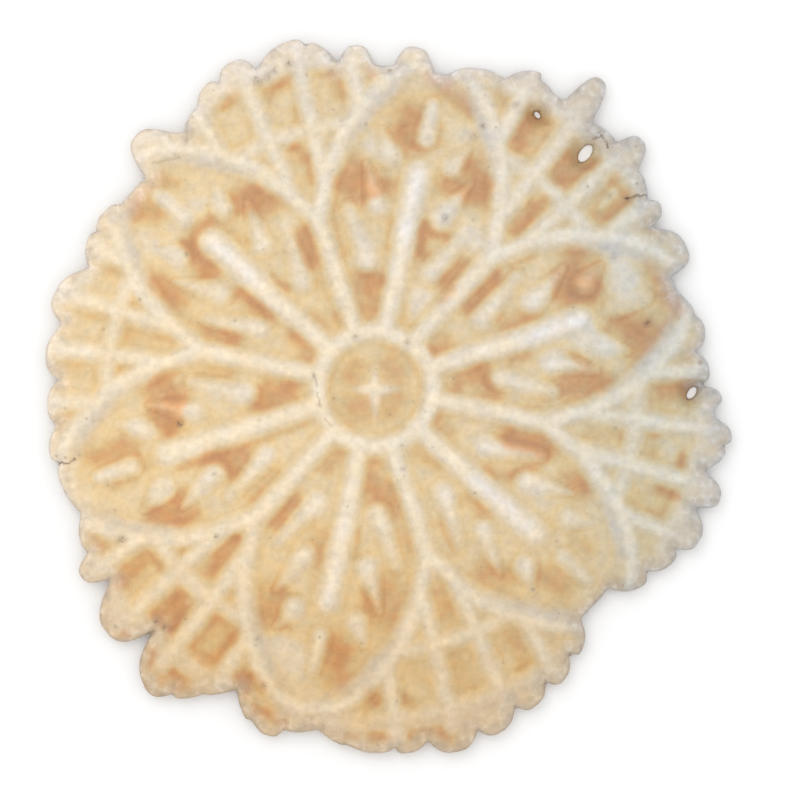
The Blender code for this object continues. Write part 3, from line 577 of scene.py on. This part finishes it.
# ---- browning ----
def browning(x, y):
    """How brown the batter is, about -1 (pale) to 1 (toasted).

    Every stroke counts exp(-0.6 (d / w)^2) at distance d from its line, w its half width;
    brown strokes add up as 1 - (1 - a)(1 - b), and pale ones take away.
    """
    groups = [(first + SECTOR * number, strokes)
              for first, rows in ((PETAL_TURN, PETAL_BROWNING), (CORNER_TURN, CORNER_BROWNING))
              for number, strokes in enumerate(rows)]
    groups.append((90.0, DISC_BROWNING))
    clear, pale = np.ones(x.shape), np.zeros(x.shape)
    for direction, strokes in groups:
        turn = np.radians(direction)
        across = x * np.sin(turn) - y * np.cos(turn)
        out = x * np.cos(turn) + y * np.sin(turn)
        for *ends, half_width, strength in strokes:
            distance, _ = from_line(across, out, *np.reshape(ends, (2, 2)))
            share = np.exp(-0.6 * (distance / half_width) ** 2)
            if strength > 0.0:
                clear *= 1.0 - strength * share
            else:
                pale = np.maximum(pale, -strength * share)
    return 1.0 - clear - pale


# ---- the skin of the wafer ----
def hole_distance(x, y, hole):
    """Distance outward from an oval hole's edge, negative over the hole, and the nearest
    point of the oval, both taken along the line from the hole's middle."""
    direction, distance, length, width, lean = hole
    turn, tilt = np.radians(direction), np.radians(direction + lean)
    dx, dy = x - distance * np.cos(turn), y - distance * np.sin(turn)
    along = dx * np.cos(tilt) + dy * np.sin(tilt)
    beside = -dx * np.sin(tilt) + dy * np.cos(tilt)
    ratio = np.maximum(np.hypot(along / (length / 2), beside / (width / 2)), 1e-6)
    away = (ratio - 1.0) / ratio
    nearest = np.stack((x - dx * away, y - dy * away), axis=-1)
    return away * np.hypot(dx, dy), nearest


def from_holes(x, y):
    """Distance outward from the edge of the nearest torn hole, 0 over the hole."""
    return np.clip(np.min([hole_distance(x, y, hole)[0] for hole in HOLES], axis=0), 0.0, None)


def cut_distance(x, y):
    """Distance inward from the nearest cut, the outer edge or a hole, and its point."""
    distance, nearest = edge_distance(x, y)
    for hole in HOLES:
        gap, rim = hole_distance(x, y, hole)
        closer = gap < distance
        distance = np.where(closer, gap, distance)
        nearest = np.where(closer[:, None], rim, nearest)
    return distance, nearest


def neighbour_mean(place, pairs):
    """Mean place of the corners joined to each corner by the given pairs."""
    total, count = np.zeros(place.shape), np.zeros(len(place))
    for one, other in (pairs.T, pairs.T[::-1]):
        count += np.bincount(one, minlength=len(place))
        for axis in (0, 1):
            total[:, axis] += np.bincount(one, place[other, axis], minlength=len(place))
    return np.where(count[:, None] > 0, total / np.maximum(count, 1)[:, None], place)


def trimmed_grid():
    """Places, squares and cut corners of a regular grid trimmed to the edge and holes.

    Squares whose middle lies off the wafer are dropped and the corners along the cut are
    moved onto it. The corners nearby are evened out towards the mean of their neighbours,
    then those within R = TURN_IN of the edge are drawn towards it: distance d becomes
    R (1 - cos(pi d / 2R)), which crowds them where the skin turns over.
    """
    half = int(np.ceil(np.abs(EDGE_POINTS).max() / GRID)) + 2
    line = np.arange(-half, half + 1) * GRID
    x, y = (axis.ravel() for axis in np.meshgrid(line, line, indexing="ij"))
    side = len(line)
    numbers = np.arange(side * side).reshape(side, side)
    quads = np.stack((numbers[:-1, :-1], numbers[1:, :-1], numbers[1:, 1:],
                      numbers[:-1, 1:]), axis=-1).reshape(-1, 4)
    distance, nearest = cut_distance(x, y)
    kept = distance[quads].mean(axis=1) > 0.0
    for _ in range(EVENING_ROUNDS):
        used = np.bincount(quads[kept].ravel(), minlength=len(x)) > 0
        dropped = np.bincount(quads[~kept].ravel(), minlength=len(x)) > 0
        on_cut = used & dropped
        kept &= on_cut[quads].sum(axis=1) < 4
    quads = quads[kept]
    place = np.stack((x, y), axis=1)
    place[on_cut] = nearest[on_cut]
    pairs = np.concatenate([quads[:, (corner, (corner + 1) % 4)] for corner in range(4)])
    pairs = np.unique(np.sort(pairs, axis=1), axis=0)
    along_cut = pairs[on_cut[pairs].all(axis=1)]
    inner = np.flatnonzero(~on_cut & (distance > 0.0) & (distance < 3.0 * GRID))
    rim = np.flatnonzero(on_cut)
    for _ in range(EVENING_ROUNDS):
        place[inner] += 0.5 * (neighbour_mean(place, pairs) - place)[inner]
        place[rim] += 0.5 * (neighbour_mean(place, along_cut) - place)[rim]
        place[rim] = cut_distance(*place[rim].T)[1]
    distance, nearest = edge_distance(*place.T)
    reach = np.clip(distance, 1e-6, TURN_IN)
    drawn = TURN_IN * (1.0 - np.cos(np.pi / 2 * reach / TURN_IN))
    share = np.where(on_cut | (distance >= TURN_IN), 0.0, 1.0 - drawn / reach)
    place += (nearest - place) * share[:, None]
    return place, quads, on_cut


def face_relief(x, y, seed):
    """Height of a face above the middle of the sheet, in mm, and the maps that the finish
    reads. The rim rounds off as a quarter circle, and the batter thins out at a hole."""
    bent_x, bent_y = wandered(x, y, ((9.0, 0.28, 11), (2.6, 0.14, 14)))
    pressed, foot_toast_and_shade, shoulder, groove, slope_shade = pattern(bent_x, bent_y)
    ridges = pressed * (0.86 + 0.14 * rough_noise(x, y, 5.0, seed))
    radius = np.hypot(bent_x, bent_y)
    from_edge = np.clip(edge_distance(x, y)[0], 0.0, None)
    crease = notch_crease(x, y, from_edge)

    rim = RIM_HEIGHT * np.exp(-((from_edge - RIM_CREST) / 1.5) ** 2)
    relief = highest((ridges, rim, shoulder * 0.9 + 0.02), 5.0)
    relief += 0.06 * rough_noise(x, y, 3.0, seed + 5)
    relief += (0.03 + 0.12 * np.exp(-from_edge / 3.0)) * rough_noise(x, y, 1.7, seed + 9)
    field = (1.0 - smooth_step(0.0, 0.5, pressed)) * smooth_step(12.0, 14.0, radius)
    disc = 1.0 - smooth_step(DISC_RADIUS - 0.5, DISC_RADIUS + 0.5, radius)
    relief -= FIELD_DEPTH * field + DISC_DEPTH * disc
    relief -= GROOVE_DEPTH * groove + CREASE_DEPTH * crease
    turn = np.clip(from_edge / RIM_ROUNDING, 0.0, 1.0)
    height = (WEB / 2 + np.minimum(relief, FULL_HEIGHT)) * np.sqrt(1.0 - (1.0 - turn) ** 2)
    height *= np.clip(from_holes(x, y) / HOLE_THINNING, 0.0, 1.0) ** 0.8

    mark = np.max([darkness * np.exp(-((x - right) ** 2 + (y - up) ** 2) / size ** 2)
                   for right, up, size, darkness in PITS], axis=0)
    maps = {
        "ridge": np.clip(ridges / 0.95 / FULL_HEIGHT, 0.0, 1.2),
        "toast": browning(*wandered(x, y, ((3.0, 0.5, seed + 31),))),
        "mark": mark,
        # Browning with painted shade along the ridges' feet and in the creases from the
        # notches.
        "foot_toast_and_shade": foot_toast_and_shade + 0.8 * crease,
        # Painted shade on the inner flank of the petals' borders.
        "slope_shade": slope_shade,
        "pale": 0.55 * smooth_step(59.0, 63.0, radius),
        "edge": np.clip(from_edge / 6.0, 0.0, 1.0),
    }
    return height - PIT_DEPTH * mark, maps


def wafer_skin():
    """Closed skin: the upper face, the lower face mirrored in the middle of the sheet, and
    shared corners where they meet, round the edge and round each hole. The middle sags as
    exp(-(d / reach)^2) at distance d from a hole, where the torn batter is thin."""
    place, quads, on_cut = trimmed_grid()
    x, y = place.T
    count = len(x)
    upper, upper_maps = face_relief(x, y, 21)
    lower, lower_maps = face_relief(x, y, 51)
    upper[on_cut] = 0.0
    middle = MIDDLE - HOLE_DROOP * np.exp(-(from_holes(x, y) / DROOP_REACH) ** 2)
    lower = np.minimum(lower, middle - WAFER_BOX[0, 2])
    below = np.where(on_cut, np.arange(count), np.arange(count) + count)
    points = MM * np.concatenate([np.stack((x + HUB[0], y + HUB[1], height), axis=1)
                                  for height in (middle + upper, middle - lower)])
    faces = np.concatenate((quads, below[quads][:, ::-1]))
    used = np.zeros(len(points), bool)
    used[faces.ravel()] = True
    renumber = np.cumsum(used) - 1
    maps = {name: np.concatenate((values, lower_maps[name]))[used]
            for name, values in upper_maps.items()}
    return points[used], renumber[faces], maps


def mesh_piece(name, points, faces, maps, finish):
    """Object from whole arrays of points, four-cornered faces and point maps."""
    mesh = bpy.data.meshes.new(name)
    mesh.vertices.add(len(points))
    mesh.vertices.foreach_set("co", points.astype(np.float32).ravel())
    mesh.loops.add(faces.size)
    mesh.loops.foreach_set("vertex_index", faces.astype(np.int32).ravel())
    mesh.polygons.add(len(faces))
    mesh.polygons.foreach_set("loop_start", np.arange(0, faces.size, 4, dtype=np.int32))
    mesh.polygons.foreach_set("use_smooth", np.ones(len(faces), bool))
    mesh.update(calc_edges=True)
    mesh.validate()
    for map_name, values in maps.items():
        attribute = mesh.attributes.new(map_name, "FLOAT", "POINT")
        attribute.data.foreach_set("value", values.astype(np.float32))
    mesh.materials.append(finish)
    piece = bpy.data.objects.new(name, mesh)
    bpy.context.scene.collection.objects.link(piece)
    return piece


# ---- shader maths ----
class Value:
    """A shader socket that Python's operators work on: numbers go through Math nodes,
    colours and vectors through Vector Math."""

    def __init__(self, finish, socket):
        self.finish = finish
        self.socket = socket

    def _join(self, operation, first, second):
        sockets = [item.socket.type for item in (first, second) if isinstance(item, Value)]
        if any(kind in ("VECTOR", "RGBA") for kind in sockets):
            pair = [(item,) * 3 if isinstance(item, (int, float)) else item
                    for item in (first, second)]
            return self.finish.node("ShaderNodeVectorMath", {"operation": operation}, pair)
        return self.finish.node("ShaderNodeMath", {"operation": operation}, (first, second))

    def __add__(self, other):
        return self._join("ADD", self, other)

    def __sub__(self, other):
        return self._join("SUBTRACT", self, other)

    def __rsub__(self, other):
        return self._join("SUBTRACT", other, self)

    def __mul__(self, other):
        return self._join("MULTIPLY", self, other)

    def __pow__(self, other):
        return self._join("POWER", self, other)

    __radd__ = __add__
    __rmul__ = __mul__


class Finish:
    """A material whose nodes are added one at a time and joined by expressions."""

    def __init__(self, name):
        self.material = bpy.data.materials.new(name)
        self.material.use_nodes = True
        self.tree = self.material.node_tree
        self.shader = self.tree.nodes["Principled BSDF"]

    def node(self, kind, settings=None, inputs=(), output=0):
        """Add a node: settings first, then its sockets' values or links, given by name or
        in order, and hand back one of its outputs."""
        made = self.tree.nodes.new(kind)
        for setting, value in (settings or {}).items():
            setattr(made, setting, value)
        pairs = inputs.items() if isinstance(inputs, dict) else enumerate(inputs)
        for socket, value in pairs:
            self.feed(made.inputs[socket], value)
        return Value(self, made.outputs[output])

    def feed(self, socket, value):
        """Link a socket to a value, or set it to a plain number or colour."""
        if isinstance(value, Value):
            self.tree.links.new(value.socket, socket)
        else:
            socket.default_value = value

    def surface(self, inputs):
        """Feed the material's own sockets, by name."""
        for socket, value in inputs.items():
            self.feed(self.shader.inputs[socket], value)

    def point_map(self, name):
        """The value of one of the skin's maps."""
        return self.node("ShaderNodeAttribute", {"attribute_name": name}, output=2)

    def noise(self, place, size, detail=2.0, roughness=0.5):
        """Cloudy noise about 0 to 1 with features of the given size in mm."""
        return self.node("ShaderNodeTexNoise", None,
                         {"Vector": place, "Scale": 1.0 / size, "Detail": detail,
                          "Roughness": roughness})

    def pores(self, place, spacing, rarity):
        """Small round spots, one to a cell of the given spacing in mm, and only in the
        cells whose random number is above the rarity."""
        cell = {"Vector": place, "Scale": 1.0 / spacing, "Randomness": 1.0}
        distance = self.node("ShaderNodeTexVoronoi", {"feature": "F1"}, cell)
        number = self.node("ShaderNodeTexVoronoi", {"feature": "F1"}, cell, 1)
        picked = self.ramp(self.node("ShaderNodeSeparateColor", None, (number,)),
                           rarity, 1.0)
        return self.ramp(distance, 0.28, 0.06) * picked

    def strokes(self, place, rows):
        """Darkness of soft strokes: the nearest point of each one's line gives a distance,
        and the darkness fades over it; the darkest stroke counts."""
        darkest = 0.0
        for start, end, half_width, darkness in rows:
            run = np.subtract(end, start)
            away = place - (start[0] + HUB[0], start[1] + HUB[1], 0.0)
            along = self.node("ShaderNodeVectorMath", {"operation": "DOT_PRODUCT"},
                              (away, (*(run / (run @ run)).tolist(), 0.0)), 1)
            along = self.node("ShaderNodeClamp", None, (along,))
            flat = away * (1.0, 1.0, 0.0) - self.node(
                "ShaderNodeVectorMath", {"operation": "SCALE"},
                {0: (*run.tolist(), 0.0), "Scale": along})
            gap = self.node("ShaderNodeVectorMath", {"operation": "LENGTH"}, (flat,), 1)
            stroke = self.ramp(gap, half_width * 1.5, half_width * 0.4) * darkness
            darkest = self.node("ShaderNodeMath", {"operation": "MAXIMUM"},
                                (stroke, darkest))
        return darkest

    def ramp(self, value, low, high):
        """0 below low, 1 above high, smooth between."""
        return self.node("ShaderNodeMapRange", {"interpolation_type": "SMOOTHSTEP"},
                         {"Value": value, "From Min": low, "From Max": high})

    def blend(self, share, first, second, how="MIX"):
        """Colour that passes from the first to the second as the share goes from 0 to 1."""
        return self.node("ShaderNodeMix", {"data_type": "RGBA", "blend_type": how},
                         {0: share, 6: first, 7: second}, 2)


def colour(red, green, blue):
    """Linear colour of the given display values, 0 to 255."""
    display = np.array((red, green, blue)) / 255.0
    linear = np.where(display <= 0.04045, display / 12.92, ((display + 0.055) / 1.055) ** 2.4)
    return tuple(linear.tolist()) + (1.0,)


def layered(finish, amount, base, layers):
    """Each layer, (low, high, colour), laid in as the amount rises from its low to its
    high."""
    for low, high, tone in layers:
        base = finish.blend(finish.ramp(amount, low, high), base, tone)
    return base


def pattern_colour(finish, browned, raised):
    """From browned fields up the flanks to the cream crests of the ridges, with painted shade,
    greyer, on the inner flank of the petals' borders."""
    field = layered(finish, browned, colour(231, 218, 196), (
        (-0.6, 0.15, colour(228, 206, 165)), (0.0, 0.55, colour(221, 193, 142)),
        (0.3, 1.1, colour(203, 153, 107)), (0.85, 1.4, colour(188, 142, 106))))
    crest = layered(finish, browned, colour(246, 238, 227), (
        (-0.8, 0.1, colour(245, 231, 205)), (0.3, 1.1, colour(234, 190, 143))))
    flank = finish.blend(finish.ramp(browned, 0.35, 1.0), colour(231, 218, 194),
                         colour(236, 184, 136))
    base = layered(finish, raised, field, ((-0.1, 0.75, flank), (0.25, 1.1, crest)))
    # Painted shade: greyer on the inner flank of the petals' borders.
    return finish.blend(finish.point_map("slope_shade") * 0.7, base, colour(213, 204, 191))


def dark_marks(finish, place, fleck, crumb):
    """Darkness of the pits, crumbled, and of the cracks, unsteady and broken up."""
    wander = finish.node("ShaderNodeTexNoise", None,
                         {"Vector": place, "Scale": 1.1, "Detail": 2.0}, 1)
    cracked = finish.strokes(place + (wander - (0.5, 0.5, 0.5)) * 1.1, CRACKS)
    pitted = finish.point_map("mark") * (0.5 + 0.9 * finish.ramp(crumb, 0.35, 0.65))
    return pitted + cracked * finish.ramp(fleck, 0.2, 0.5)


def baked_batter():
    """Dry baked batter: cream ridges, pale tan fields, apricot toasted patches, a cooler
    grey edge of painted shade, mottling, tiny pores and a fine crumb."""
    finish = Finish("baked_batter")
    ramp, blend = finish.ramp, finish.blend
    noise, point_map = finish.noise, finish.point_map
    place = finish.node("ShaderNodeTexCoord", output=3) * (1 / MM)
    across, up = (finish.node("ShaderNodeSeparateXYZ", None, (place,), axis)
                  for axis in (0, 1))
    # Share towards the bottom, for the painted shade that darkens and dulls the colour below.
    low = ramp(up, -10.0, -55.0)
    ridge = point_map("ridge")
    edge = point_map("edge")
    broad = noise(place, 7.0)
    hue = noise(place, 3.6)
    mottle = noise(place, 2.4, 3.0)
    fleck = noise(place, 1.3)
    crumb = noise(place, 0.45, 2.0, 0.7)

    # Browning, with painted shade, along the ridges' feet and in the notch creases.
    browned = point_map("toast") + point_map("foot_toast_and_shade") * 0.26
    browned = browned + (mottle - 0.5) * 0.7 + (broad - 0.5) * 0.4
    raised = ridge ** 1.15 + (mottle - 0.5) * 0.3 * ramp(ridge, 0.0, 0.3)
    base = pattern_colour(finish, browned, finish.node("ShaderNodeClamp", None, (raised,)))

    # The lobes and the edge: greyer to the right and below as painted shade, a greyer rim of
    # painted shade where the skin turns over, with white flecks, darker blots and a darker
    # line of painted shade at the very edge.
    shade_right_and_below = finish.node("ShaderNodeMath", {"operation": "MAXIMUM"},
                       (ramp(across, 0.0, 45.0), low))
    lobe = blend(shade_right_and_below, colour(243, 230, 208), colour(222, 206, 184))
    base = blend(point_map("pale") * (1.0 - ramp(browned, 0.2, 0.8)), base, lobe)
    # Painted shade where the skin turns over: a greyer rim, and a darker line at the very
    # edge, darker below.
    rim = blend(shade_right_and_below, colour(232, 222, 209), colour(208, 197, 184))
    line = blend(low, colour(206, 198, 189), colour(188, 175, 162))
    near_edge = ramp(edge, 0.7, 0.0) * 0.6 + ramp(edge, 0.2, 0.0) * 0.2
    for share, tone in (
            (near_edge, rim),
            (near_edge * ramp(fleck, 0.48, 0.75) * 0.6, colour(246, 242, 237)),
            (near_edge * ramp(mottle, 0.52, 0.25) * 0.8, colour(188, 174, 158)),
            (ramp(edge, 0.1, 0.0) * 0.6, line)):
        base = blend(share, base, tone)

    # Slight tints: painted light and shade, cooler to the right and darker and duller below;
    # and cloudy.
    white = colour(255, 255, 255)
    for share, first, second in (
            (ramp(across * 0.9 + up * 0.4, -60.0, 60.0), colour(253, 248, 242),
             colour(237, 241, 251)),
            (low, white, colour(243, 236, 224)),
            (ramp(across, 22.0, 50.0), white, colour(243, 249, 254)),
            (ramp(hue, 0.3, 0.7), colour(254, 250, 242), colour(248, 250, 253))):
        base = blend(1.0, base, blend(share, first, second), "MULTIPLY")

    pore = finish.pores(place, 1.3, 0.84) + finish.pores(place, 2.2, 0.86)
    pore = pore * (0.25 + ramp(hue, 0.42, 0.62) + near_edge)
    base = blend(pore * 0.4, base, colour(160, 138, 116))
    mark = dark_marks(finish, place, fleck, crumb)
    base = blend(mark, base, colour(112, 92, 78))
    grain = 1.01 + (mottle - 0.5) * 0.30 + (fleck - 0.5) * 0.34 + (crumb - 0.5) * 0.12
    base = finish.node("ShaderNodeVectorMath", {"operation": "SCALE"},
                       {0: base, "Scale": grain})

    height = crumb * 0.4 + fleck * 0.8 + mottle * 0.8 - pore * 1.2 - mark * 2.0
    bump = finish.node("ShaderNodeBump", None,
                       {"Height": height, "Strength": 0.6, "Distance": 0.12 * MM})
    finish.surface({"Base Color": base, "Normal": bump, "Roughness": 0.68,
                    "Specular IOR Level": 0.3})
    return finish.material


# ---- the wafer ----
wafer = mesh_piece("wafer_baked", *wafer_skin(), baked_batter())
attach(wafer, "root")
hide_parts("wafer")


# ---- stage: floor, light and camera ----
FLOOR_SIZE = 3.0  # metres
LEVEL = cad_box[0][2]
VIEW_SHIFT = (4.95, -2.34)  # mm from the hub to the middle of the view
VIEW_WIDTH = 0.148  # metres


def floor():
    """Plain near-white sheet under the wafer."""
    paper = Finish("floor_paper")
    paper.surface({"Base Color": (0.93, 0.93, 0.93, 1.0), "Roughness": 0.9,
                   "Specular IOR Level": 0.1})
    half = FLOOR_SIZE / 2
    corners = np.array(((-half, -half, LEVEL), (half, -half, LEVEL), (half, half, LEVEL),
                        (-half, half, LEVEL)))
    mesh_piece("floor", corners, np.arange(4).reshape(1, 4), {}, paper.material)


def studio():
    """Even pale surroundings with one large soft light, aimed from the upper left."""
    world = bpy.data.worlds.new("studio")
    world.use_nodes = True
    background = world.node_tree.nodes["Background"]
    background.inputs["Color"].default_value = (1.0, 1.0, 1.0, 1.0)
    background.inputs["Strength"].default_value = 1.05
    bpy.context.scene.world = world

    light = bpy.data.lights.new("key", "AREA")
    light.shape = "SQUARE"
    light.size = 0.6
    light.energy = 1.2
    lamp = bpy.data.objects.new("key", light)
    lamp.location = (-0.3, 0.5, 0.8)
    lamp.rotation_euler = (-lamp.location).to_track_quat("-Z", "Y").to_euler()
    bpy.context.scene.collection.objects.link(lamp)


def camera():
    """Looks straight down, with the wafer a little up and to the left of the middle."""
    lens = bpy.data.cameras.new("camera")
    lens.sensor_width = 36.0
    distance = 0.9
    lens.lens = lens.sensor_width * distance / VIEW_WIDTH
    eye = bpy.data.objects.new("camera", lens)
    right, up = (HUB + VIEW_SHIFT) * MM
    eye.location = (right, up, LEVEL + distance)
    bpy.context.scene.collection.objects.link(eye)
    bpy.context.scene.camera = eye
    bpy.context.scene.view_settings.view_transform = "Standard"


floor()
studio()
camera()
